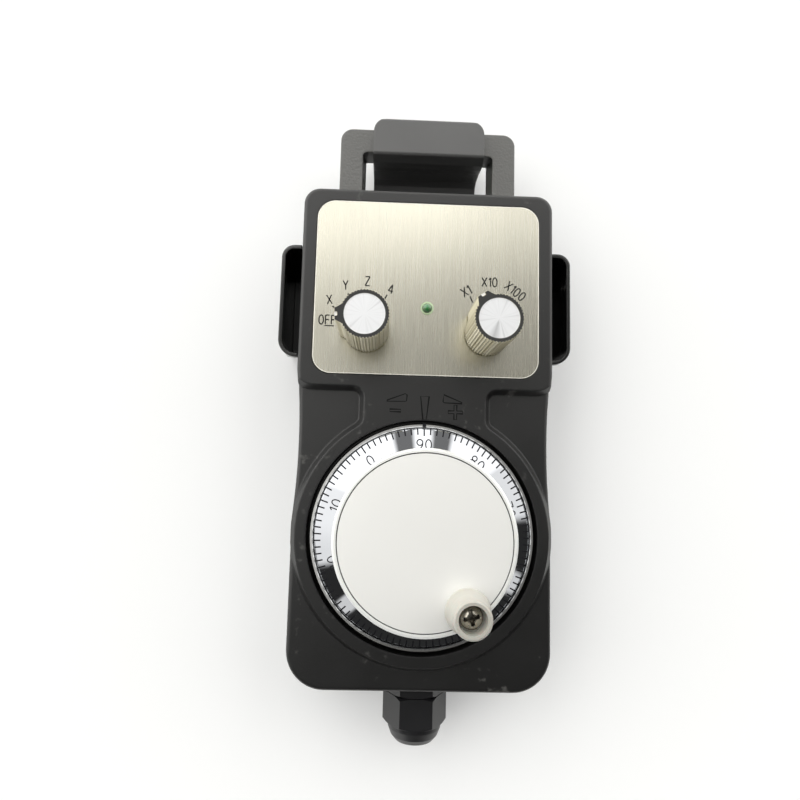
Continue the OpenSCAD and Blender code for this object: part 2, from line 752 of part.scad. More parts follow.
module sensor_board() {
    color([0.1, 0.4, 0.22]) at_dial() difference() {
        union() {
            tube(23.4, 5.4, -20.6, -19.4);
            for (i = [0 : 5]) rotate(-115 + 10 * i) translate([19, -0.5, -21.4])
                cube([2, 1, 0.8 + eps]);
        }
        at_three(rim_post_r, 90) translate([0, 0, -22]) cylinder(r = 1.1, h = 4);
    }
}

module board_screws() {
    color([0.7, 0.7, 0.7]) at_dial() at_three(rim_post_r, 90)
        translate([0, 0, -20.6]) pan_screw(0.92, 5, 1.7, 1, 1);
}

// ---- handwheel -----------------------------------------------------------

// Graduated skirt: a shallow cone that turns with the wheel.
module dial_ring() {
    color([0.86, 0.87, 0.88]) at_dial()
        turned([[20.6, -2.6], [28.3, -2.6], [28.65, -2.2], [28.65, -0.9], [28.3, -0.7],
                [23.2, 1], [20.6, 1]]);
}

// Wheel: turned rim and web, a fluted grip band, a hub and the grip's boss.
module wheel_body() {
    plate_r = wheel_r - 1.35;
    web = wheel_h - 2.6;
    flute_top = wheel_h - 1.5;
    color([0.82, 0.82, 0.83]) at_dial() difference() {
        union() {
            turned([[0, web], [20, web], [20.6, flute_top - 1], [20.6, flute_top],
                    [wheel_r, flute_top], [wheel_r, wheel_h - 0.5], [wheel_r - 0.55, wheel_h],
                    [plate_r + 0.25, wheel_h], [plate_r + 0.1, wheel_h - 0.2],
                    [plate_r + 0.1, wheel_h - 0.8], [0, wheel_h - 0.8]]);
            translate([0, 0, 1]) difference() {
                linear_extrude(flute_top - 1) fluted(wheel_r - 0.15, wheel_r - 0.65, wheel_flutes);
                translate([0, 0, -1]) cylinder(r = 20.6, h = 20);
            }
            tube(7, 0, -3, web + eps);
            rotate(grip_angle) translate([grip_arm - 1.6, 0, 0]) tube(3.4, 0, web - 4, web + eps);
        }
        translate([0, 0, -4]) cylinder(r = shaft_r + 0.01, h = 12.4);
        cylinder(r = 2.1, h = 20);
        translate([0, 0, wheel_h - 2.3]) cylinder(r = 4.2, h = 4);
        rotate(grip_angle) translate([grip_arm, 0, web - 3]) cylinder(r = 1.5, h = 10);
    }
}

module wheel_plate() {
    color([0.92, 0.92, 0.91]) at_dial() difference() {
        tube(wheel_r - 1.35, 0, wheel_h - 0.8, wheel_h);
        rotate(grip_angle) translate([grip_arm, 0, wheel_h - 2]) cylinder(r = 1.6, h = 4);
    }
}

module wheel_screw() {
    color([0.7, 0.7, 0.7]) at_dial() translate([0, 0, wheel_h - 2.3]) mirror([0, 0, 1])
        pan_screw(2, 7, 4, 1.4, 2.2);
}

module at_grip() at_dial() rotate(grip_angle) translate([grip_arm, 0, 0]) children();

// Waisted spinning grip with a counterbore for its screw.
module crank_grip() {
    z0 = wheel_h + 0.3;
    color([0.93, 0.92, 0.86]) at_grip() difference() {
        turned([[0, z0], [5.4, z0], [5.66, z0 + 0.3], [5.62, z0 + 0.9], [5.2, z0 + 2],
                [4.85, z0 + 3.4], [4.65, z0 + 5], [4.6, z0 + 7], [4.6, grip_top - 0.5],
                [4.1, grip_top], [0, grip_top]]);
        translate([0, 0, z0 + 4.6]) cylinder(r = 3.4, h = grip_h);
        translate([0, 0, z0 - 1]) cylinder(r = 2.05, h = grip_h);
    }
}

module grip_sleeve() color([0.75, 0.75, 0.76]) at_grip()
    tube(2, 1.52, wheel_h, wheel_h + 5.1);

module grip_screw() {
    color([0.8, 0.8, 0.78]) at_grip() translate([0, 0, wheel_h + 5.1]) mirror([0, 0, 1])
        pan_screw(1.48, 9.6, 2.5, 1.6, 1.6);
}

// ---- wiring board --------------------------------------------------------

module at_board_screws() at_dial()
    for (sx = [-1, 1], sy = [38, 84]) translate([sx * 21, sy, 0]) children();

module terminal_board() {
    color([0.1, 0.4, 0.22]) difference() {
        at_dial() translate([0, 61, board_z]) linear_extrude(1.2) round_rect(46, 52, 2);
        at_board_screws() translate([0, 0, board_z - 1]) cylinder(r = 1.3, h = 4);
    }
}

module terminal_strip() {
    ways = 10;
    pitch = 3.5;
    color([0.2, 0.45, 0.3]) at_dial() translate([-ways * pitch / 2, 72, board_z + 1.2])
        difference() {
            cube([ways * pitch, 7, 7.5]);
            for (i = [0 : ways - 1]) translate([(i + 0.5) * pitch, 3.5, 0]) {
                translate([0, 0, 4]) cylinder(r = 1.2, h = 5, $fn = 24);
                translate([-1, -5, 1]) cube([2, 5, 2]);
            }
        }
}

module terminal_screws() {
    color([0.7, 0.7, 0.7]) at_board_screws() translate([0, 0, board_z + 1.2])
        mirror([0, 0, 1]) pan_screw(1, 2.4, 2, 1.1, 1.1);
}

// ---- cable gland ---------------------------------------------------------

// Turns the gland's axis to -Y; local Z runs out of the case.
module at_gland() at_dial() translate([0, case_bottom - dial_y, gland_z])
    rotate([90, 0, 0]) children();

// Hexagon bar with a flat towards the front, both ends chamfered.
module hex_bar(z0, z1) {
    corner_r = gland_af / 2 / cos(30);
    intersection() {
        translate([0, 0, z0]) cylinder(r = corner_r, h = z1 - z0, $fn = 6);
        turned([[0, z0], [gland_af / 2 + 0.2, z0], [corner_r, z0 + 0.6],
                [corner_r, z1 - 0.6], [gland_af / 2 + 0.2, z1], [0, z1]]);
    }
}

module gland_body() {
    color([0.09, 0.09, 0.1]) at_gland() difference() {
        union() {
            tube(gland_hole_r, 0, -7, 1);
            hex_bar(0.8, 4);
            tube(6.2, 0, 4, 10.5);
        }
        translate([0, 0, -8]) cylinder(r = 3.9, h = 12);
        translate([0, 0, 3.9]) cylinder(r = 5, h = 8);
    }
}

module gland_locknut() {
    color([0.12, 0.12, 0.12]) at_gland() difference() {
        translate([0, 0, -wall - 3]) cylinder(r = 7.39, h = 3, $fn = 6);
        translate([0, 0, -8]) cylinder(r = gland_hole_r + 0.02, h = 10);
    }
}

module gland_washer() color([0.08, 0.08, 0.08]) at_gland()
    tube(8.2, gland_hole_r + 0.02, 0, 0.8);

module gland_seal() color([0.2, 0.2, 0.2]) at_gland()
    tube(4.95, gland_bore / 2, 4.1, 12);

module gland_nut() {
    color([0.09, 0.09, 0.1]) at_gland() difference() {
        union() {
            hex_bar(4.2, 12.4);
            turned([[0, 12], [7.6, 12], [7.4, 13.6], [6.6, 15.6], [5.4, 17], [4.4, 17.4],
                    [0, 17.4]]);
        }
        translate([0, 0, 4]) cylinder(r = 6.22, h = 8.2);
        translate([0, 0, 12]) cylinder(r1 = 6.2, r2 = gland_bore / 2 + 0.6, h = 3);
        translate([0, 0, 14]) cylinder(r = gland_bore / 2 + 0.6, h = 5);
    }
}

wall_holder();
rear_case();
front_case();
case_seal();
case_screws();
control_panel();
led_bezel();
led_lens();
axis_switch_body();
axis_switch_nut();
axis_switch_shaft();
axis_knob();
axis_knob_cap();
axis_knob_set_screw();
multiplier_switch_body();
multiplier_switch_nut();
multiplier_switch_shaft();
multiplier_knob();
multiplier_knob_cap();
multiplier_knob_set_screw();
bezel_ring();
encoder_housing();
encoder_screws();
front_bearing_outer();
rear_bearing_outer();
bearing_balls();
front_bearing_inner();
rear_bearing_inner();
bearing_spacer();
wheel_shaft();
shaft_clip();
detent_wheel();
detent_spring();
code_disc();
disc_hub();
optical_sensor();
sensor_board();
board_screws();
dial_ring();
wheel_body();
wheel_plate();
wheel_screw();
crank_grip();
grip_sleeve();
grip_screw();
terminal_board();
terminal_strip();
terminal_screws();
gland_body();
gland_locknut();
gland_washer();
gland_seal();
gland_nut();
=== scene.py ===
"""Finishes, lettering and studio for a hand-held pulse generator in its wall holder."""

import math

import bmesh
import bpy
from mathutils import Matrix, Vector


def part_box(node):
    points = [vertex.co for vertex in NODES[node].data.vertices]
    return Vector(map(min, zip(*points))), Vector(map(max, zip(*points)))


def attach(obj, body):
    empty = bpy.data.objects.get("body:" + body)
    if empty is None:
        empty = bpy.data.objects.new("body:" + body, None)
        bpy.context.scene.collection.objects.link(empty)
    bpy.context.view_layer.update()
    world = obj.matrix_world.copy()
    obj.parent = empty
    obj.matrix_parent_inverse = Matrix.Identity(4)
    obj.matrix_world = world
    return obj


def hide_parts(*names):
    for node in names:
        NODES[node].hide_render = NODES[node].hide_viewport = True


bl_info = {
    "name": "Pulse Generator Handwheel",
    "version": (1, 0, 0),
    "blender": (4, 5, 0),
    "location": "View3D > Sidebar > Handwheel",
    "description": "Finishes, letters and lights a hand-held pulse generator",
    "category": "Object",
}

MM = 0.001
INK_LIFT = 0.012 * MM  # height of print above its surface
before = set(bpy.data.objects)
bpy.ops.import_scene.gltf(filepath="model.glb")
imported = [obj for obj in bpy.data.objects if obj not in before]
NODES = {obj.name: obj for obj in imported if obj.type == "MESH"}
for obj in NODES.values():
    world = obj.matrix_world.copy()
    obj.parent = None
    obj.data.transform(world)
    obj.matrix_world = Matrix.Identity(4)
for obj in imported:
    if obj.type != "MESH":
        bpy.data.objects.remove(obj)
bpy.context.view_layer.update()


def middle(node):
    """Centre of a node's box."""
    low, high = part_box(node)
    return (Vector(low) + Vector(high)) / 2


def top_of(node):
    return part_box(node)[1][2]


def clamp(value):
    """A plain number kept from 0 to 1."""
    return min(max(value, 0), 1)


DIAL = middle("bezel_ring")
DIAL.z = 0
PANEL_TOP = top_of("control_panel")
RING_TOP = top_of("dial_ring")
RING_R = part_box("dial_ring")[1][0] - DIAL.x
BEZEL_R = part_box("bezel_ring")[1][0] - DIAL.x
FACE_TOP = top_of("front_case")
SHELL_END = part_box("front_case")[1][1]
HOOK_FOOT = SHELL_END + 2.6 * MM
SELECTORS = {"axis": middle("axis_knob_cap"), "multiplier": middle("multiplier_knob_cap")}
PLATE_R = 21.7 * MM  # the wheel's face plate
GRIP = middle("crank_grip")
LAMP = middle("led_lens")


def from_dial(x, y):
    """A place in the frame, from millimetres right of and above the dial's middle."""
    return (DIAL.x + x * MM, DIAL.y + y * MM)


def srgb(red, green, blue):
    """Linear colour from the 0 to 255 values of a colour chart."""
    def linear(v):
        v /= 255
        return v / 12.92 if v <= 0.04045 else ((v + 0.055) / 1.055) ** 2.4
    return (linear(red), linear(green), linear(blue), 1.0)


def tinted(color, factor):
    """A colour made brighter or darker by a factor."""
    return tuple(min(c * factor, 1) for c in color[:3]) + (1.0,)


# ---- settings ------------------------------------------------------------

def paint(name, description, default):
    """A colour that a user can change."""
    return bpy.props.FloatVectorProperty(name=name, description=description, subtype="COLOR",
                                         size=4, min=0, max=1, default=default)


def measure(name, description, default):
    """A length that a user can change."""
    return bpy.props.FloatProperty(name=name, description=description, unit="LENGTH",
                                   precision=6, default=default)


def light(name, description, default):
    """A brightness that a user can change."""
    return bpy.props.FloatProperty(name=name, description="Brightness of " + description,
                                   default=default, min=0)


class CaseSettings(bpy.types.PropertyGroup):
    plastic: paint("Case plastic", "Colour of both shells", srgb(12, 12, 12))
    # the loop's paler colour is a painted sheen, standing in for the window's light on the loop
    loop: paint("Loop plastic", "Colour of the hanging loop, rubbed pale in use",
                srgb(70, 70, 67))
    holder: paint("Holder plastic", "Colour of the wall holder", srgb(13, 13, 13))
    grain: measure("Grain depth", "Depth of the moulded grain", 0.02 * MM)


class PanelSettings(bpy.types.PropertyGroup):
    steel: paint("Panel steel", "Colour of the brushed panel", srgb(208, 205, 191))
    ink: paint("Ink", "Colour of the printed legends", srgb(32, 32, 30))
    letter: measure("Letter height", "Height of the legends' capitals", 2.55 * MM)
    stroke: measure("Stroke", "Width of the letters' strokes", 0.34 * MM)
    lamp: paint("Lamp", "Colour of the lamp's lens", srgb(46, 118, 62))


class SelectorSettings(bpy.types.PropertyGroup):
    rim: paint("Rim", "Colour of a knob's black top", srgb(40, 40, 39))
    cap: paint("Cap", "Colour of a knob's spun cap", srgb(226, 227, 229))
    flutes: bpy.props.IntProperty(
        name="Flutes", description="Flutes round a knob", default=48, min=12, max=90)
    flute_depth: measure("Flute depth", "Depth of a flute", 0.26 * MM)


class DialSettings(bpy.types.PropertyGroup):
    chrome: paint("Chrome", "Colour of the bright rings", srgb(170, 172, 176))
    satin: paint("Satin aluminium", "Colour of the wheel's face", srgb(252, 252, 249))
    grip: paint("Grip", "Colour of the crank grip", srgb(171, 169, 161))
    divisions: bpy.props.IntProperty(
        name="Divisions", description="Marks in one turn of the dial", default=100)
    mark_depth: measure("Mark lift", "Height of ink above its surface", INK_LIFT)


class StudioSettings(bpy.types.PropertyGroup):
    place: bpy.props.FloatVectorProperty(
        name="Camera place", description="Where the camera stands", subtype="TRANSLATION",
        default=(-11.394 * MM, -45.269 * MM, 191.785 * MM))
    tilt: bpy.props.FloatVectorProperty(
        name="Camera turn", description="Turn of the camera about X, Y and Z",
        subtype="EULER", default=[math.radians(a) for a in (6.0275, -1.7710, 1.4940)])
    lens: bpy.props.FloatProperty(
        name="Lens", description="Focal length on a 36 mm sensor, in millimetres",
        default=27.311)
    window: light("Window", "the large window beyond the hook", 2.5)
    ceiling: light("Ceiling", "the ceiling overhead", 0.34)
    glow: light("Glow", "the soft patch of ceiling overhead", 0.95)
    left_wall: light("Left wall", "the pale wall on the left", 1.75)
    right_wall: light("Right wall", "the pale wall on the right", 1.8)
    front: light("Front", "the walls low down all round", 1.3)
    lamps: light("Lamps", "the two small lamps in front", 1.4)
    shade: light("Shade", "the dim side nearest the viewer", 0.05)


# ---- shader maths --------------------------------------------------------

class Field:
    """A number that varies over a surface; arithmetic on it adds Math nodes."""

    def __init__(self, tree, socket):
        self.tree = tree
        self.socket = socket

    def math(self, operation, *values, clamp=False):
        node = self.tree.nodes.new("ShaderNodeMath")
        node.operation = operation
        node.use_clamp = clamp
        for socket, value in zip(node.inputs, values):
            if isinstance(value, Field):
                self.tree.links.new(value.socket, socket)
            else:
                socket.default_value = value
        return Field(self.tree, node.outputs[0])

    def __add__(self, other):
        return self.math("ADD", self, other)

    __radd__ = __add__

    def __sub__(self, other):
        return self.math("SUBTRACT", self, other)

    def __rsub__(self, other):
        return self.math("SUBTRACT", other, self)

    def __mul__(self, other):
        return self.math("MULTIPLY", self, other)

    __rmul__ = __mul__

    def __truediv__(self, other):
        return self.math("DIVIDE", self, other)

    def __rtruediv__(self, other):
        return self.math("DIVIDE", other, self)

    def clamped(self):
        return self.math("ADD", self, 0.0, clamp=True)

    def root(self):
        return self.math("SQRT", self)

    def size(self):
        return self.math("ABSOLUTE", self)

    def near(self, angle, half):
        """From 1 at an angle to 0 at a half width either side, all in degrees."""
        apart = self.math("WRAP", self - math.radians(angle), math.pi, -math.pi).size()
        return (1 - apart / math.radians(half)).clamped()

    def eased(self):
        """From 0 to 1 with soft ends."""
        t = self.clamped()
        return t * t * (3 - 2 * t)


class Shading:
    """A node tree in the making."""

    def __init__(self, owner):
        owner.use_nodes = True
        self.tree = owner.node_tree

    def node(self, kind, settings, sockets):
        """One node of a kind: its settings first, then its sockets' values or links."""
        node = self.tree.nodes.new(kind)
        for name, value in settings.items():
            setattr(node, name, value)
        for name, value in sockets.items():
            self.give(node.inputs[name], value)
        return node

    def give(self, socket, value):
        """A link for a field or a socket, and a plain value otherwise."""
        if isinstance(value, Field):
            value = value.socket
        if isinstance(value, bpy.types.NodeSocket):
            self.tree.links.new(value, socket)
        else:
            socket.default_value = value

    def parts(self, vector):
        """The X, Y and Z of a vector as fields."""
        node = self.node("ShaderNodeSeparateXYZ", {}, {0: vector})
        return [Field(self.tree, output) for output in node.outputs]


class Finish(Shading):
    """A material in the making: its main shader and the shared recipes."""

    def __init__(self, name, color, roughness, metallic=0.0, **constants):
        self.material = bpy.data.materials.new(name)
        super().__init__(self.material)
        self.shader = self.tree.nodes["Principled BSDF"]
        self.color = tuple(color)
        self.feed("Base Color", self.color)
        self.feed("Roughness", roughness)
        self.feed("Metallic", metallic)
        for socket, value in constants.items():
            self.feed(socket.replace("_", " "), value)
        where = self.node("ShaderNodeTexCoord", {}, {})
        self.place = where.outputs["Object"]
        self.normal = where.outputs["Normal"]

    def feed(self, name, value):
        """Sets one of the main shader's sockets, or links it."""
        self.give(self.shader.inputs[name], value)

    def stretched(self, scale):
        """The surface's own place, scaled along each axis, as repeats per metre."""
        return self.node("ShaderNodeVectorMath", {"operation": "MULTIPLY"},
                         {0: self.place, 1: scale}).outputs[0]

    def noise(self, scale, detail=3.0, place=None):
        """Cloudy numbers from 0 to 1, with a scale per metre or a stretched place."""
        node = self.node("ShaderNodeTexNoise", {},
                         {"Vector": place or self.place, "Scale": scale, "Detail": detail})
        return Field(self.tree, node.outputs["Fac"])

    def radius(self, centre):
        """Distance from a vertical axis, in metres."""
        x, y, _ = self.parts(self.place)
        x, y = x - centre.x, y - centre.y
        return (x * x + y * y).root()

    def turn(self, centre):
        """Angle about a vertical axis, in radians from X."""
        x, y, _ = self.parts(self.place)
        return x.math("ARCTAN2", y - centre.y, x - centre.x)

    def rays(self, centre, fineness):
        """Cloudy numbers that stay the same along each ray from a centre."""
        flat = self.stretched((1, 1, 0))
        away = self.node("ShaderNodeVectorMath", {"operation": "SUBTRACT"},
                         {0: flat, 1: (centre.x, centre.y, 0)}).outputs[0]
        ray = self.node("ShaderNodeVectorMath", {"operation": "NORMALIZE"},
                        {0: away}).outputs[0]
        return self.noise(fineness, 4.0, ray)

    def blend(self, amount, first, second):
        """Mixes two colours."""
        node = self.node("ShaderNodeMix", {"data_type": "RGBA"},
                         {"Factor": amount, 6: first, 7: second})
        return node.outputs[2]

    def shade(self, amount, light=1.0, dark=0.0):
        """The finish's own colour between two brightnesses."""
        self.feed("Base Color", self.blend(amount, tinted(self.color, dark),
                                           tinted(self.color, light)))

    def bump(self, height, depth, edge=0.0):
        """Lifts the surface by a height from 0 to 1 times a depth, and rounds its edges."""
        sockets = {"Height": height, "Distance": depth, "Strength": 1.0}
        if edge:
            sockets["Normal"] = self.node("ShaderNodeBevel", {"samples": 4},
                                          {"Radius": edge}).outputs[0]
        self.feed("Normal", self.node("ShaderNodeBump", {}, sockets).outputs[0])


# ---- finishes ------------------------------------------------------------

def case_plastic(name, color, depth, sheen=0.65, coarse=2600, loop=None):
    """Spark-eroded grain with cloudy wear and rubbed spots; a loop past the shell is painted
    paler, a painted sheen for the window's light on it.
    """
    finish = Finish(name, color, 0.5, Specular_IOR_Level=sheen)
    grain = finish.noise(coarse, 2.0)
    clouds = finish.noise(60, 4.0)
    rubbed = ((finish.noise(420, 5.0) * 0.6 + finish.noise(75, 2.0) * 0.4 - 0.6) * 9).eased()
    tone = clouds * 0.6 + grain * 0.4

    def mottled(base):
        """A plastic's colour with its cloudy wear."""
        return finish.blend(tone, tinted(base, 0.7), tinted(base, 1.35))

    own = mottled(color)
    # painted sheen: past the shell the loop takes a paler colour, for the window's light on it
    if loop:
        _, y, _ = finish.parts(finish.place)
        own = finish.blend(((y - SHELL_END) / (1 * MM)).clamped(), own, mottled(loop))
    finish.feed("Base Color", finish.blend(rubbed * 0.3, own, srgb(120, 119, 116)))
    finish.feed("Roughness", clouds * 0.14 + 0.31 + rubbed * 0.08)
    finish.bump(grain, depth, edge=0.6 * MM)
    return finish.material


def holder_plastic(settings):
    """Satin on the hook, which is painted lighter as a painted sheen for the light on its top;
    glossy down between the cheeks.
    """
    finish = Finish("holder_plastic", settings.holder, 0.3, Specular_IOR_Level=0.8)
    _, y, _ = finish.parts(finish.place)
    on_hook = ((y - HOOK_FOOT) / (5 * MM)).clamped()
    grain = finish.noise(2600, 2.0)
    clouds = finish.noise(80, 3.0)
    finish.feed("Roughness", on_hook * 0.26 + 0.12 + grain * 0.06)
    # painted sheen: the hook's colour is raised many times over, for the light falling on its
    # top
    finish.feed("Base Color", finish.blend((on_hook * (clouds * 0.3 + 0.7)).clamped(),
                                           finish.color, tinted(finish.color, 19)))
    finish.bump(grain, settings.grain * 0.5, edge=0.6 * MM)
    return finish.material


def brushed_steel(settings):
    """Fine grain along Y, in colour, polish and height."""
    finish = Finish("brushed_panel_steel", settings.steel, 0.3, 1.0)
    fine = finish.noise(1.0, 4.0, finish.stretched((6500, 70, 70)))
    broad = finish.noise(1.0, 3.0, finish.stretched((900, 14, 14)))
    finish.shade(fine * 0.7 + broad * 0.3, light=1.14, dark=0.86)
    finish.feed("Roughness", fine * 0.12 + 0.2)
    finish.bump(fine, 0.006 * MM, edge=0.3 * MM)
    return finish.material


def bright_metal(name, color, roughness=0.04, haze=0.03):
    """Plated or polished metal with a little handling haze."""
    finish = Finish(name, color, roughness, 1.0)
    clouds = finish.noise(140, 4.0)
    finish.feed("Roughness", clouds * haze + roughness)
    finish.shade(clouds, light=1.04, dark=0.94)
    return finish


def wheel_metal(settings):
    """Bright flutes, with a satin rim on top and a painted shade line in the gap where the plate
    is let in.
    """
    finish = Finish("wheel_aluminium", settings.chrome, 0.16, 1.0)
    reach = finish.radius(DIAL)
    up = finish.parts(finish.normal)[2]
    from_plate = reach - PLATE_R
    rim = ((up - 0.6) * 5).clamped() * ((from_plate - 0.1 * MM) / (0.1 * MM)).clamped()
    # painted shade: a dark line round the gap where the plate is let in
    line = 1 - ((from_plate - 0.16 * MM) / (0.08 * MM)).clamped()
    rings = (reach * (2 * math.pi / (0.12 * MM))).math("SINE") * 0.5 + 0.5
    clouds = finish.noise(220, 3.0)
    metal = finish.blend(clouds * 0.7 + rings * 0.3, srgb(214, 215, 218), finish.color)
    satin = finish.blend(rim, metal, srgb(238, 239, 236))
    finish.feed("Base Color", finish.blend(line, satin, srgb(64, 64, 62)))
    finish.feed("Metallic", 1 - rim * 0.65)
    finish.feed("Roughness", rings * 0.06 + clouds * 0.08 + rim * 0.2 + line * 0.3 + 0.16)
    finish.bump(rings, 0.002 * MM, edge=0.1 * MM)
    return finish.material


def spun_cap(name, color, centre, reflection_fans):
    """Spun aluminium with painted reflections: dark fans (angle, half width, depth) and fine
    rays run out from the centre.
    """
    finish = Finish(name, color, 0.3, 0.35)
    turn = finish.turn(centre)
    shade = (finish.rays(centre, 7.0) - 0.5).clamped() * 0.5
    for angle, half, depth in reflection_fans:
        shade = shade + turn.near(angle, half) * depth
    from_hub = (finish.radius(centre) / (1.2 * MM)).clamped()
    finish.shade(1 - shade * from_hub, light=1.05, dark=0.3)
    rings = (finish.radius(centre) * (2 * math.pi / (0.3 * MM))).math("SINE") * 0.5 + 0.5
    finish.feed("Roughness", rings * 0.1 + 0.28)
    finish.bump(rings, 0.002 * MM)
    return finish.material


def fluted_painted_reflection(name, settings, centre, first):
    """Matte black on top; down the black sides, painted reflections of the bright panel in
    stripes, with painted shade in the flutes.
    """
    finish = Finish(name, settings.rim, 0.45, Specular_IOR_Level=0.4)
    up = finish.parts(finish.normal)[2]
    side = ((0.75 - up) * 6).eased()
    turn = (finish.turn(centre) - first) * settings.flutes
    flutes = turn.math("COSINE") * 1.1 + (turn / 2).math("COSINE") * 0.2 + 0.2
    # painted reflection: the warm panel in patches and stripes down the sides, and painted shade
    # in the flutes
    patchy_reflection = ((finish.rays(centre, 12.0) - 0.42) * 5).clamped()
    bright = finish.blend(patchy_reflection, srgb(196, 188, 158), srgb(246, 241, 222))
    painted_reflection = finish.blend(flutes.clamped(), srgb(22, 18, 10), bright)
    finish.feed("Base Color", finish.blend(side, finish.color, painted_reflection))
    finish.feed("Metallic", side * 0.35)
    finish.feed("Roughness", 0.5 - side * 0.2 + finish.noise(1500, 2.0) * 0.06)
    finish.bump(finish.noise(2400, 2.0) * (1 - side), 0.006 * MM)
    return finish.material


def satin_aluminium(settings):
    """The wheel's face: a fine frosted skin, with a painted shade line at its rim, in the gap
    round the plate.
    """
    finish = Finish("satin_aluminium", settings.satin, 0.4, 0.45)
    frost = finish.noise(5200, 2.0)
    clouds = finish.noise(45, 2.0)
    finish.feed("Roughness", frost * 0.1 + clouds * 0.06 + 0.3)
    # painted shade: a dark line at the plate's rim, in the gap to the wheel
    rim = ((finish.radius(DIAL) - PLATE_R + 0.08 * MM) / (0.05 * MM)).clamped()
    pale = finish.blend(clouds, tinted(finish.color, 0.96), finish.color)
    finish.feed("Base Color", finish.blend(rim * 0.7, pale, srgb(70, 70, 68)))
    finish.bump(frost, 0.003 * MM)
    return finish.material


def glossy_moulding(name, color, roughness=0.18, **constants):
    """A smooth moulding with a little unevenness in its gloss."""
    finish = Finish(name, color, roughness, 0.0, **constants)
    clouds = finish.noise(160, 3.0)
    finish.feed("Roughness", clouds * 0.1 + roughness)
    finish.shade(clouds, light=1.1, dark=0.9)
    finish.bump(finish.noise(2600, 2.0), 0.001 * MM)
    return finish.material


def board_laminate():
    """Green solder mask with a faint weave under it."""
    finish = Finish("board_laminate", srgb(24, 96, 58), 0.3, Coat_Weight=0.4)
    weave = (finish.noise(1.0, 1.0, finish.stretched((2400, 300, 300)))
             + finish.noise(1.0, 1.0, finish.stretched((300, 2400, 300)))) * 0.5
    finish.shade(weave, light=1.3, dark=0.7)
    finish.bump(weave, 0.006 * MM)
    return finish.material


def cross_screw(brim):
    """Bright screw steel, with painted shade at the bottom of the cross."""
    finish = bright_metal("cross_screw_steel", srgb(214, 209, 196), 0.2, 0.14)
    height = finish.parts(finish.place)[2]
    # painted shade down in the cross
    recess_shade = ((brim + 0.3 * MM - height) / (0.3 * MM)).clamped()
    clouds = finish.noise(140, 4.0)
    steel = finish.blend(clouds, srgb(186, 181, 168), finish.color)
    finish.feed("Base Color", finish.blend(recess_shade * 0.85, steel, srgb(38, 36, 32)))
    return finish.material


def lamp_lens(settings):
    """Tinted lens, with a painted highlight paler at its middle and fine painted glints."""
    finish = Finish("lamp_lens", settings.lamp, 0.08, 0.0, Coat_Weight=1.0)
    edge = (finish.radius(LAMP) / (1.3 * MM)).clamped()
    painted_glints = finish.noise(2600, 3.0)
    # painted highlight at the middle and painted glints over the lens
    finish.shade((1 - edge * edge) * 0.5 + painted_glints * 0.5, light=1.25, dark=0.2)
    return finish.material


def ink(name, color):
    """Flat paint, a little uneven."""
    finish = Finish(name, color, 0.7, Specular_IOR_Level=0.15)
    finish.shade(finish.noise(1800, 2.0), light=1.3, dark=0.7)
    return finish.material


# ---- mesh building -------------------------------------------------------

def piece_from(name, mesh, material, body, replaced=()):
    """Makes a mesh into a piece that rides on a body."""
    piece = bpy.data.objects.new(name, mesh)
    bpy.context.scene.collection.objects.link(piece)
    mesh.materials.append(material)
    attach(piece, body)
    if replaced:
        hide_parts(*replaced)
    return piece


def ribbon(mesh, points, width, height, closed=False):
    """Adds a flat line of a width through points in X and Y, at a height rule."""
    count = len(points)
    rows = []
    for i, point in enumerate(points):
        before = points[(i - 1) % count] if closed or i else point
        after = points[(i + 1) % count] if closed or i < count - 1 else point
        along = (Vector(after) - Vector(before)).normalized()
        if before != point and after != point:
            into = (Vector(point) - Vector(before)).normalized()
            mitre = max(into.dot(along), 0.5)
        else:
            mitre = 1
        side = Vector((-along.y, along.x)) * width / 2 / mitre
        rows.append([mesh.verts.new((*(Vector(point) + s * side), 0)) for s in (-1, 1)])
    for vert in [v for row in rows for v in row]:
        vert.co.z = height(vert.co.x, vert.co.y)
    for i in range(count if closed else count - 1):
        a, b = rows[i], rows[(i + 1) % count]
        mesh.faces.new((a[0], b[0], b[1], a[1]))


def faces_up(mesh):
    """Turns the faces of a flat mesh upwards."""
    for face in mesh.faces:
        face.normal_update()
        if face.normal.z < 0:
            face.normal_flip()


def faces_out(mesh):
    """Turns the faces of a solid outwards."""
    bmesh.ops.recalc_face_normals(mesh, faces=mesh.faces)


def faces_kept(mesh):
    """Leaves the faces as the builder made them."""


def finished_mesh(name, build, turned=faces_up):
    """Runs a builder on an empty mesh, turns its faces and returns the mesh."""
    mesh = bmesh.new()
    build(mesh)
    turned(mesh)
    data = bpy.data.meshes.new(name)
    mesh.to_mesh(data)
    mesh.free()
    return data


def arc(x, y, width, height, start, end, steps=9):
    """Points on an ellipse between two angles in degrees."""
    turns = [math.radians(start + (end - start) * k / steps) for k in range(steps + 1)]
    return [(x + width * math.cos(t), y + height * math.sin(t)) for t in turns]


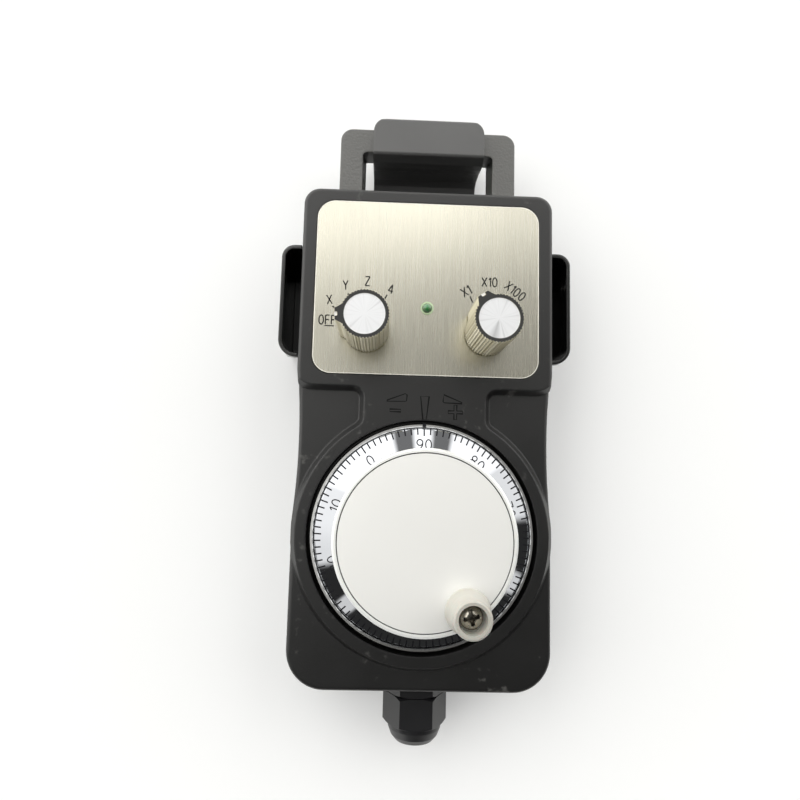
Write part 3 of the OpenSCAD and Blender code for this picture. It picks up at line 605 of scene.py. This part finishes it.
# Engraver's letters, one unit high: the strokes of each.
STROKES = {
    "X": [[(0, 0), (0.52, 1)], [(0, 1), (0.52, 0)]],
    "Y": [[(0, 1), (0.26, 0.48)], [(0.52, 1), (0.26, 0.48), (0.26, 0)]],
    "Z": [[(0, 1), (0.5, 1), (0, 0), (0.5, 0)]],
    "F": [[(0.42, 1), (0, 1), (0, 0)], [(0, 0.52), (0.36, 0.52)]],
    "O": [arc(0.24, 0.5, 0.24, 0.5, 0, 360, 20)],
    "0": [arc(0.24, 0.5, 0.24, 0.5, 0, 360, 20)],
    "1": [[(0.02, 0.76), (0.2, 1), (0.2, 0)]],
    "2": [arc(0.24, 0.74, 0.24, 0.26, 170, -30) + [(0, 0), (0.5, 0)]],
    "3": [arc(0.22, 0.75, 0.22, 0.25, 150, -90) + arc(0.22, 0.25, 0.26, 0.25, 90, -150)],
    "4": [[(0.36, 0), (0.36, 1), (0, 0.28), (0.5, 0.28)]],
    "5": [[(0.44, 1), (0.06, 1), (0.02, 0.56)] + arc(0.2, 0.32, 0.26, 0.32, 120, -140)],
    "6": [arc(0.24, 0.3, 0.24, 0.3, 170, -190, 16), arc(0.44, 0.36, 0.44, 0.64, 180, 100, 6)],
    "7": [[(0, 1), (0.48, 1), (0.16, 0)]],
    "8": [arc(0.24, 0.75, 0.2, 0.25, 0, 360, 16), arc(0.24, 0.26, 0.25, 0.26, 0, 360, 16)],
    "9": [arc(0.24, 0.7, 0.24, 0.3, 0, 360, 16), arc(0.04, 0.64, 0.44, 0.64, 0, -80, 6)],
}


def stepped(start, end, step):
    """Points on a straight line, no further apart than a step."""
    count = max(1, math.ceil(math.dist(start, end) / step))
    return [tuple(a + (b - a) * k / count for a, b in zip(start, end))
            for k in range(count + 1)]


def lettering(name, words, material, body, height, stroke, stretch=1.0, gap=0.22):
    """Words as flat strokes: (text, x, y, turn, letter height) in the frame's metres."""
    def letters(mesh):
        for text, x, y, turn, size in words:
            widths = [max(px for line in STROKES[c] for px, _ in line) for c in text]
            across = -(sum(widths) + gap * (len(text) - 1)) / 2
            for character, width in zip(text, widths):
                for line in STROKES[character]:
                    points = [((across + px) * size * stretch, (py - 0.5) * size)
                              for px, py in line]
                    points = [(x + u * math.cos(turn) - v * math.sin(turn),
                               y + u * math.sin(turn) + v * math.cos(turn))
                              for u, v in points]
                    straight = len(points) < 6  # round strokes have more points
                    runs = ([stepped(*ends, 0.3 * MM) for ends in zip(points, points[1:])]
                            if straight else [points])
                    for run in runs:
                        ribbon(mesh, run, stroke, height)
                across += width + gap

    return piece_from(name, finished_mesh(name, letters), material, body)


def lathe(mesh, profile, centre, steps=96):
    """Adds a surface turned from (radius, height) points about a vertical axis."""
    rows = []
    for radius, height in profile:
        rows.append([mesh.verts.new((centre.x + radius * math.cos(2 * math.pi * k / steps),
                                     centre.y + radius * math.sin(2 * math.pi * k / steps),
                                     height)) for k in range(steps)]
                    if radius > 0 else [mesh.verts.new((centre.x, centre.y, height))])
    for low, high in zip(rows, rows[1:]):
        for k in range(steps):
            n = (k + 1) % steps
            corners = [low[k % len(low)], low[n % len(low)], high[n % len(high)],
                       high[k % len(high)]]
            corners = list(dict.fromkeys(corners))
            mesh.faces.new(corners)


def dress(material, *nodes):
    """Gives CAD nodes a finish."""
    for name in nodes:
        slots = NODES[name].data.materials
        slots.clear()
        slots.append(material)


# ---- operators -----------------------------------------------------------

class HANDWHEEL_OT_case(bpy.types.Operator):
    """Finish both shells, the holder and the cable gland, and mark the neck"""
    bl_idname = "handwheel.case"
    bl_label = "Case and Holder"

    def execute(self, context):
        settings = context.scene.handwheel_case
        dress(case_plastic("case_plastic", settings.plastic, settings.grain), "front_case")
        dress(case_plastic("rear_plastic", settings.plastic, settings.grain * 5, 1.0, 1400,
                           tuple(settings.loop)), "rear_case")
        dress(holder_plastic(settings), "wall_holder")
        dress(glossy_moulding("gland_nylon", srgb(26, 26, 28), 0.3),
              "gland_body", "gland_locknut", "gland_nut")
        dress(glossy_moulding("seal_rubber", srgb(22, 22, 22), 0.6),
              "case_seal", "gland_washer", "gland_seal")
        dress(bright_metal("zinc_plate", srgb(176, 176, 178), 0.25, 0.15).material,
              "case_screws", "encoder_screws", "board_screws", "terminal_screws",
              "wheel_screw", "axis_knob_set_screw", "multiplier_knob_set_screw")
        self.mark_neck()
        return {"FINISHED"}

    def mark_neck(self):
        """Dark outlines on the neck, painted shade standing in for engraved grooves: a minus and
        a plus below their wedges, and a pointer.
        """
        arm, half = 1.95, 0.38
        plus = [(half, half), (arm, half), (arm, -half), (half, -half), (half, -arm),
                (-half, -arm), (-half, -half), (-arm, -half), (-arm, half), (-half, half),
                (-half, arm), (half, arm)]
        outlines = [
            [(-10.4, 35.7), (-10.3, 36.0), (-5.4, 37.9), (-4.9, 37.6), (-5.0, 35.9),
             (-5.5, 35.8)],
            [(-9.5, 33.6), (-6.5, 33.6), (-6.5, 32.9), (-9.5, 32.9)],
            [(-1.2, 37.3), (1.1, 37.3), (0.45, 31.0), (-0.5, 31.0)],
            [(5.1, 37.9), (10.1, 35.9), (10.1, 35.6), (5.3, 35.7), (4.9, 36.0)],
            [(8.3 + x, 33.2 + y) for x, y in plus]]
        mesh = finished_mesh("neck_marks", lambda m: [
            ribbon(m, [from_dial(*point) for point in outline], 0.22 * MM,
                   lambda x, y: FACE_TOP + INK_LIFT, closed=True)
            for outline in outlines])
        # dark lines painted where the engraved grooves would hold shade
        piece = piece_from("neck_marks", mesh, ink("painted_groove_shade", srgb(9, 9, 10)), "pendant")


class HANDWHEEL_OT_panel(bpy.types.Operator):
    """Finish the steel panel and the lamp, and print the legends"""
    bl_idname = "handwheel.panel"
    bl_label = "Control Panel"

    def execute(self, context):
        settings = context.scene.handwheel_panel
        dress(brushed_steel(settings), "control_panel")
        dress(lamp_lens(settings), "led_lens")
        dress(bright_metal("nickel_plate", srgb(222, 222, 214), 0.1).material,
              "axis_switch_nut", "multiplier_switch_nut")
        dress(glossy_moulding("lamp_collar", srgb(186, 206, 170), 0.2), "led_bezel")
        self.print_legends(settings)
        return {"FINISHED"}

    def print_legends(self, settings):
        """Legends, ticks and the line under OFF, in flat ink."""
        lift = PANEL_TOP + INK_LIFT
        black = ink("panel_ink", settings.ink)
        # each legend with its middle from the dial, in millimetres, and its turn in radians
        legends = (("OFF", -27.3, 57.6, 0), ("X", -26.9, 63.3, 0.12), ("Y", -22.6, 67.5, 0.05),
                   ("Z", -16.6, 68.8, 0), ("4", -10.1, 66.8, -0.15),
                   ("X1", 10.7, 66.9, math.radians(30)), ("X10", 17.2, 69.7, 0),
                   ("X100", 24.4, 67.4, math.radians(-38)))
        words = [(text, *from_dial(x, y), turn, settings.letter)
                 for text, x, y, turn in legends]
        letters = lettering("panel_legends", words, black, "pendant", lambda x, y: lift,
                            settings.stroke)

        tick_angles = {"axis": (146, 118, 90, 62), "multiplier": (114, 90, 66)}

        def ticks(mesh):
            for name, angles in tick_angles.items():
                centre = SELECTORS[name]
                for angle in (math.radians(a) for a in angles):
                    ends = [(centre.x + r * MM * math.cos(angle),
                             centre.y + r * MM * math.sin(angle)) for r in (9.6, 11.5)]
                    ribbon(mesh, ends, 0.36 * MM, lambda x, y: lift)
            underline = [from_dial(x, 55.95) for x in (-28.0, -25.4)]
            ribbon(mesh, underline, 0.32 * MM, lambda x, y: lift)

        # a painted highlight round the panel's edge
        self.paint_edge_highlight()
        lines = piece_from("panel_ticks", finished_mesh("panel_ticks", ticks), black,
                           "pendant")

    def paint_edge_highlight(self):
        """A thin painted highlight along the panel's edge, where light catches its bevel."""
        low, high = (Vector(corner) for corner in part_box("control_panel"))
        inset, corner = 0.14 * MM, 4.86 * MM
        path = []
        for quarter, (sx, sy) in enumerate(((1, 1), (-1, 1), (-1, -1), (1, -1))):
            x = (high.x - inset - corner) if sx > 0 else (low.x + inset + corner)
            y = (high.y - inset - corner) if sy > 0 else (low.y + inset + corner)
            path += arc(x, y, corner, corner, 90 * quarter, 90 * quarter + 90, 10)
        mesh = finished_mesh("painted_panel_highlight", lambda m: ribbon(
            m, path, 0.2 * MM, lambda x, y: PANEL_TOP + 0.01 * MM, closed=True))
        # a pale line painted for the light on the panel's bevel
        shine = glossy_moulding("painted_edge_highlight", srgb(238, 236, 226), 0.3)
        piece_from("painted_panel_highlight", mesh, shine, "pendant")


class HANDWHEEL_OT_selectors(bpy.types.Operator):
    """Draw both fluted selector knobs, fill their pointers and finish their parts"""
    bl_idname = "handwheel.selectors"
    bl_label = "Selectors"

    def execute(self, context):
        settings = context.scene.handwheel_selectors
        # dark fans of painted reflection on each cap: (angle, half width, depth)
        reflection_fans = {"axis": ((40, 5, 0.22), (225, 6, 0.2), (150, 4, 0.1), (-80, 6, 0.1)),
                "multiplier": ((-105, 22, 0.5), (-75, 5, 0.3), (67, 4, 0.2), (10, 3, 0.22),
                               (190, 4, 0.2), (150, 3, 0.12))}
        white = ink("pointer_fill", srgb(236, 235, 230))
        for side, centre in SELECTORS.items():
            first = self.fill_pointer(side, centre, white)
            self.flute(side, centre, first, settings)
            dress(spun_cap(side + "_spun_cap", settings.cap, centre, reflection_fans[side]),
                  side + "_knob_cap")
        dress(bright_metal("spindle_steel", srgb(170, 170, 172), 0.2, 0.1).material,
              "axis_switch_shaft", "multiplier_switch_shaft")
        dress(glossy_moulding("switch_plastic", srgb(38, 58, 110), 0.3),
              "axis_switch_body", "multiplier_switch_body")
        return {"FINISHED"}

    def flute(self, side, centre, first, settings):
        """A knob with rounded flutes and a groove above its skirt, pointer and all."""
        node = side + "_knob"
        low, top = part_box(node)[0][2], top_of(node)
        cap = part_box(side + "_knob_cap")[1][0] - centre.x
        radius, recess = cap + 0.9 * MM, cap - 0.22 * MM
        # pointer's outline, across and out from the knob's middle
        tip = [(x * MM, y * MM) for x, y in
               ((2.5, 4), (2.3, 5.8), (1.45, 7.35), (0.6, 7.35), (0.5, 6.7), (-0.5, 6.7),
                (-0.6, 7.35), (-1.45, 7.35), (-2.3, 5.8), (-2.5, 4))]

        def reach(angle):
            """Outline's radius at an angle from the pointer."""
            across, out = math.sin(angle), math.cos(angle)
            best = radius - settings.flute_depth * (1 - math.cos(settings.flutes * angle)) / 2
            for (ax, ay), (bx, by) in zip(tip, tip[1:]):
                turn = across * (by - ay) - out * (bx - ax)
                if abs(turn) > 1e-9:
                    far = (ax * (by - ay) - ay * (bx - ax)) / turn
                    part = (ax * out - ay * across) / turn
                    if far > best and -1e-6 <= part <= 1 + 1e-6:
                        best = far
            return best

        steps = settings.flutes * 8
        angles = {round(2 * math.pi * k / steps - math.pi, 6) for k in range(steps)}
        angles |= {round(math.atan2(x, y), 6) for x, y in tip}
        angles = sorted(angles)
        edge = [reach(angle) for angle in angles]

        def ring(r):
            """A round row, with the same radius all the way."""
            return [r] * len(angles)

        bore, hollow = ring(3.3 * MM), ring(5.3 * MM)
        neck, seat = ring(radius - 0.45 * MM), ring(recess)
        roof = low + 3.8 * MM
        groove, lip = low + 1.2 * MM, low + 1.45 * MM
        rows = [(roof, bore), (roof, hollow), (low, hollow), (low, edge), (groove, edge),
                (groove, neck), (lip, neck), (lip, edge), (top - 0.1 * MM, edge),
                (top, [r - 0.08 * MM for r in edge]), (top, seat), (top - 0.29 * MM, seat)]

        def build(mesh):
            loops = [[mesh.verts.new((centre.x + r * math.cos(first - angle),
                                      centre.y + r * math.sin(first - angle), z))
                      for r, angle in zip(radii, angles)] for z, radii in rows]
            for lower, upper in zip(loops, loops[1:]):
                for k in range(len(angles)):
                    n = (k + 1) % len(angles)
                    mesh.faces.new((lower[n], lower[k], upper[k], upper[n]))

        piece = piece_from(side + "_fluted_knob",
                           finished_mesh(side + "_fluted_knob", build, faces_kept),
                           fluted_painted_reflection(side + "_plating", settings, centre, first),
                           side + "_selector", replaced=(node,))

    def fill_pointer(self, side, centre, white):
        """Fills the groove at the tip of a knob's pointer, and gives the pointer's angle."""
        knob = NODES[side + "_knob"]
        reach = [(knob.matrix_world @ v.co) - centre for v in knob.data.vertices]
        past_skirt = 7.2 * MM  # only the pointer's nose reaches further
        tips = [v for v in reach if v.xy.length > past_skirt]
        out = sum((v.xy for v in tips), Vector((0, 0))).normalized()
        sideways = Vector((-out.y, out.x))
        lift = top_of(side + "_knob") - 0.25 * MM

        def groove(mesh):
            # (out, sideways) from the knob's middle, in millimetres
            outline = [centre.xy + out * r * MM + sideways * w * MM
                       for r, w in ((6.6, -0.52), (7.3, -0.62), (7.3, 0.62), (6.6, 0.52))]
            top = [mesh.verts.new((*point, lift)) for point in outline]
            foot = [mesh.verts.new((*point, lift - 3 * MM)) for point in outline]
            mesh.faces.new(top)
            for i in range(4):
                j = (i + 1) % 4
                mesh.faces.new((foot[i], foot[j], top[j], top[i]))

        piece = piece_from(side + "_pointer_fill", finished_mesh(side + "_pointer_fill", groove),
                           white, side + "_selector")
        return math.atan2(out.y, out.x)


class HANDWHEEL_OT_dial(bpy.types.Operator):
    """Finish the dial and its wheel, and mark the divisions"""
    bl_idname = "handwheel.dial"
    bl_label = "Dial and Handwheel"

    def execute(self, context):
        settings = context.scene.handwheel_dial
        dress(bright_metal("dial_chrome", settings.chrome, 0.025, 0.02).material, "dial_ring")
        dress(bright_metal("bezel_nickel", srgb(226, 226, 224), 0.16, 0.08).material,
              "bezel_ring")
        dress(wheel_metal(settings), "wheel_body")
        dress(satin_aluminium(settings), "wheel_plate")
        dress(glossy_moulding("grip_ivory", settings.grip, 0.3, Subsurface_Weight=0.1,
                              Subsurface_Scale=1 * MM), "crank_grip")
        steel = bright_metal("screw_steel", srgb(222, 218, 206), 0.2, 0.12).material
        dress(steel, "grip_screw", "grip_sleeve")
        self.grip_head()
        self.mark(settings)
        return {"FINISHED"}

    def grip_head(self):
        """The grip's screw with a domed head and a cross for the driver."""
        low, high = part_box("grip_screw")
        crown, head, shank, dome = high[2], 2.8 * MM, 1.48 * MM, 1.1 * MM
        brim = crown - 0.9 * MM
        tilt = math.radians(12)
        ring_count, spokes = 28, 96

        def depth(x, y):
            """Depth of the cross at a place on the head."""
            u = abs(x * math.cos(tilt) + y * math.sin(tilt))
            v = abs(y * math.cos(tilt) - x * math.sin(tilt))
            reach = max(u, v)
            slot = clamp((0.46 * MM - min(u, v)) / (0.1 * MM))
            slot *= clamp((2.0 * MM - reach) / (0.3 * MM))
            cone = clamp((1.0 * MM - math.hypot(u, v)) / (0.4 * MM))
            return max(slot, cone * 0.8) * 1.3 * MM

        def build(mesh):
            lathe(mesh, [(0, low[2]), (shank, low[2]), (shank, brim - 0.7 * MM),
                         (head, brim - 0.7 * MM), (head, brim)], GRIP, 48)
            rows = []
            for ring in range(ring_count):
                radius = head * (1 - ring / ring_count)
                rows.append([])
                for k in range(spokes):
                    x, y = (radius * f(2 * math.pi * k / spokes) for f in (math.cos, math.sin))
                    z = brim + dome * (1 - (radius / head) ** 2) - depth(x, y)
                    rows[-1].append(mesh.verts.new((GRIP.x + x, GRIP.y + y, min(z, crown))))
            for outer, within in zip(rows, rows[1:]):
                for k in range(spokes):
                    n = (k + 1) % spokes
                    mesh.faces.new((outer[k], outer[n], within[n], within[k]))
            mesh.faces.new(rows[-1])

        piece = piece_from("grip_cross_screw",
                           finished_mesh("grip_cross_screw", build, faces_out),
                           cross_screw(brim), "handwheel", replaced=("grip_screw",))

    def mark(self, settings):
        """Divisions and numbers, filled black, on the ring's slope."""
        black = ink("dial_fill", srgb(26, 26, 30))
        edge, inner = RING_R - 0.35 * MM, RING_R - 5.45 * MM
        rise = 1.7 * MM
        edge_z = RING_TOP - rise

        def slope(x, y):
            """Height of the marks on the ring's slope and the bevel outside it."""
            radius = math.hypot(x - DIAL.x, y - DIAL.y)
            part = clamp((edge - radius) / (edge - inner))
            fall = max(radius - edge, 0) * 0.57
            return edge_z + rise * part - fall + settings.mark_depth

        turn = 2 * math.pi / settings.divisions
        start = math.radians(90)
        tens, fives, ones = 1.75 * MM, 1.6 * MM, 1.4 * MM

        def ticks(mesh):
            for i in range(settings.divisions):
                length = tens if i % 10 == 0 else fives if i % 5 == 0 else ones
                angle = start + i * turn
                ends = [(DIAL.x + r * math.cos(angle), DIAL.y + r * math.sin(angle))
                        for r in (edge + 0.33 * MM, edge, edge - length)]
                ribbon(mesh, ends, 0.37 * MM, slope)

        lines = piece_from("dial_divisions", finished_mesh("dial_divisions", ticks), black,
                           "handwheel")
        words = []
        for i in range(0, settings.divisions, 10):
            angle = start + i * turn
            reach = edge - 4.05 * MM
            words.append((str((i + 90) % 100), DIAL.x + reach * math.cos(angle),
                          DIAL.y + reach * math.sin(angle), angle - start, 2.7 * MM))
        numbers = lettering("dial_numbers", words, black, "handwheel", slope, 0.3 * MM,
                            stretch=1.2, gap=0.24)
        index = finished_mesh("index_mark", lambda m: ribbon(
            m, [(DIAL.x, DIAL.y + BEZEL_R - 1.0 * MM), (DIAL.x, DIAL.y + BEZEL_R)],
            0.96 * MM, lambda x, y: top_of("bezel_ring") + 0.02 * MM))
        piece_from("index_mark", index, black, "pendant")


class HANDWHEEL_OT_inside(bpy.types.Operator):
    """Finish the encoder, its bearings and the boards inside the case"""
    bl_idname = "handwheel.inside"
    bl_label = "Inner Works"

    def execute(self, context):
        ground = bright_metal("ground_steel", srgb(200, 200, 204), 0.1).material
        dress(ground, "front_bearing_outer", "rear_bearing_outer", "front_bearing_inner",
              "rear_bearing_inner", "bearing_balls", "bearing_spacer")
        dress(bright_metal("shaft_steel", srgb(182, 182, 184), 0.2, 0.1).material,
              "wheel_shaft", "shaft_clip")
        dress(bright_metal("cast_aluminium", srgb(165, 167, 170), 0.4, 0.1).material,
              "encoder_housing", "disc_hub")
        dress(bright_metal("rolled_brass", srgb(190, 160, 96), 0.22, 0.1).material,
              "detent_wheel", "detent_spring")
        dress(bright_metal("etched_steel", srgb(196, 200, 204), 0.12).material, "code_disc")
        dress(board_laminate(), "sensor_board", "terminal_board")
        dress(glossy_moulding("sensor_plastic", srgb(28, 28, 30), 0.4), "optical_sensor")
        dress(glossy_moulding("strip_plastic", srgb(40, 112, 70), 0.35), "terminal_strip")
        return {"FINISHED"}


class HANDWHEEL_OT_studio(bpy.types.Operator):
    """Lay the pale floor, hang the soft lights and set up the camera"""
    bl_idname = "handwheel.studio"
    bl_label = "Studio"

    def execute(self, context):
        settings = context.scene.handwheel_studio
        scene = context.scene
        scene.view_settings.view_transform = "Standard"
        self.floor()
        self.world(scene, settings)
        lens = bpy.data.cameras.new("camera")
        lens.lens = settings.lens
        lens.sensor_width = 36
        lens.clip_start = 0.01
        camera = bpy.data.objects.new("camera", lens)
        camera.location = settings.place
        camera.rotation_euler = settings.tilt
        scene.collection.objects.link(camera)
        scene.camera = camera
        return {"FINISHED"}

    def floor(self):
        """Pale paper that shows the camera some of its own white, and keeps the shadow."""
        finish = Finish("floor_paper", srgb(246, 247, 247), 0.9, Specular_IOR_Level=0.1)
        finish.shade(finish.noise(9, 3.0), light=1.0, dark=0.98)
        white = finish.node("ShaderNodeEmission", {}, {"Color": (1, 1, 1, 1), "Strength": 1.0})
        seen = finish.node("ShaderNodeLightPath", {}, {}).outputs["Is Camera Ray"]
        mixed = finish.node("ShaderNodeMixShader", {},
                            {0: Field(finish.tree, seen) * 0.25,
                             1: finish.shader.outputs[0], 2: white.outputs[0]})
        finish.give(finish.tree.nodes["Material Output"].inputs["Surface"], mixed.outputs[0])
        mesh = finished_mesh("floor", lambda m: m.faces.new(
            [m.verts.new((x, y, -0.05 * MM)) for x, y in ((-2, -2), (2, -2), (2, 2), (-2, 2))]))
        floor = bpy.data.objects.new("floor", mesh)
        mesh.materials.append(finish.material)
        bpy.context.scene.collection.objects.link(floor)

    def world(self, scene, settings):
        """White to the camera; a room with a window beyond the hook to everything else."""
        world = bpy.data.worlds.new("studio_world")
        scene.world = world
        sky = Shading(world)
        toward = sky.node("ShaderNodeTexCoord", {}, {}).outputs["Generated"]
        x, y, z = sky.parts(toward)
        # how far a direction leans across and along, as slopes from straight up
        height = z.math("MAXIMUM", z, 0.05)
        across, along = x / height, y / height

        def past(value, edge, sharpness):
            """From 0 to 1 as a value passes an edge; a negative sharpness turns it round."""
            return ((value - edge) * sharpness).eased()

        def away(b, a):
            """How far a direction is from one that leans b across and a along."""
            b, a = across - b, along - a
            return (b * b + a * a).root()

        def lamp(b, a, reach):
            return ((1.3 - away(b, a) / reach) * 2).eased()

        def bar(b):
            return (2.4 - (across - b).size() / 0.05).clamped()

        bars = (bar(0.27) + bar(-0.11)) * ((along - 0.43) * 9).clamped()
        window = past(along - across * 0.14, 0.325, 9) * settings.window
        left = past(across, -0.42, -7) * past(along, -0.51, 10) * settings.left_wall
        right = past(across, 0.55, 6) * past(along, -0.03, 8) * settings.right_wall
        front = past(z, 0.3, -6) * (0.85 - x * 0.6) * settings.front
        ceiling = past(along, -0.34, 3) * (1 - across * 1.2).clamped() * settings.ceiling
        glow = (1 - away(-0.32, -0.05) / 0.42).eased() * settings.glow
        lamps = (lamp(-0.64, -0.86, 0.09) + lamp(1.04, -0.63, 0.14)) * settings.lamps
        walls = window
        for wall in (left, right, front):
            walls = walls.math("MAXIMUM", walls, wall)
        level = (walls + ceiling + glow) * (1 - bars * 0.88) + lamps + settings.shade
        room = sky.node("ShaderNodeBackground", {}, {"Color": srgb(255, 254, 251),
                                                     "Strength": level})
        white = sky.node("ShaderNodeBackground", {}, {"Color": (1, 1, 1, 1), "Strength": 1.0})
        seen = sky.node("ShaderNodeLightPath", {}, {}).outputs["Is Camera Ray"]
        mixed = sky.node("ShaderNodeMixShader", {}, {0: seen, 1: room.outputs[0],
                                                     2: white.outputs[0]})
        sky.give(sky.tree.nodes["World Output"].inputs["Surface"], mixed.outputs[0])


STEPS = (HANDWHEEL_OT_case, HANDWHEEL_OT_panel, HANDWHEEL_OT_selectors, HANDWHEEL_OT_dial,
         HANDWHEEL_OT_inside, HANDWHEEL_OT_studio)
SETTINGS = {"handwheel_case": CaseSettings, "handwheel_panel": PanelSettings,
            "handwheel_selectors": SelectorSettings,
            "handwheel_dial": DialSettings, "handwheel_studio": StudioSettings}


class HANDWHEEL_PT_steps(bpy.types.Panel):
    """Every step and its settings"""
    bl_idname = "HANDWHEEL_PT_steps"
    bl_label = "Handwheel"
    bl_space_type = "VIEW_3D"
    bl_region_type = "UI"
    bl_category = "Handwheel"

    def draw(self, context):
        for step in STEPS:
            self.layout.operator(step.bl_idname)
        for name, group in SETTINGS.items():
            box = self.layout.box()
            for field in group.__annotations__:
                box.prop(getattr(context.scene, name), field)


def register():
    for name, group in SETTINGS.items():
        bpy.utils.register_class(group)
        setattr(bpy.types.Scene, name, bpy.props.PointerProperty(type=group))
    for cls in (*STEPS, HANDWHEEL_PT_steps):
        bpy.utils.register_class(cls)


def unregister():
    for cls in reversed((*STEPS, HANDWHEEL_PT_steps)):
        bpy.utils.unregister_class(cls)
    for name, group in SETTINGS.items():
        delattr(bpy.types.Scene, name)
        bpy.utils.unregister_class(group)


def main():
    register()
    for step in STEPS:
        family, action = step.bl_idname.split(".")
        getattr(getattr(bpy.ops, family), action)()


if __name__ == "__main__":
    main()
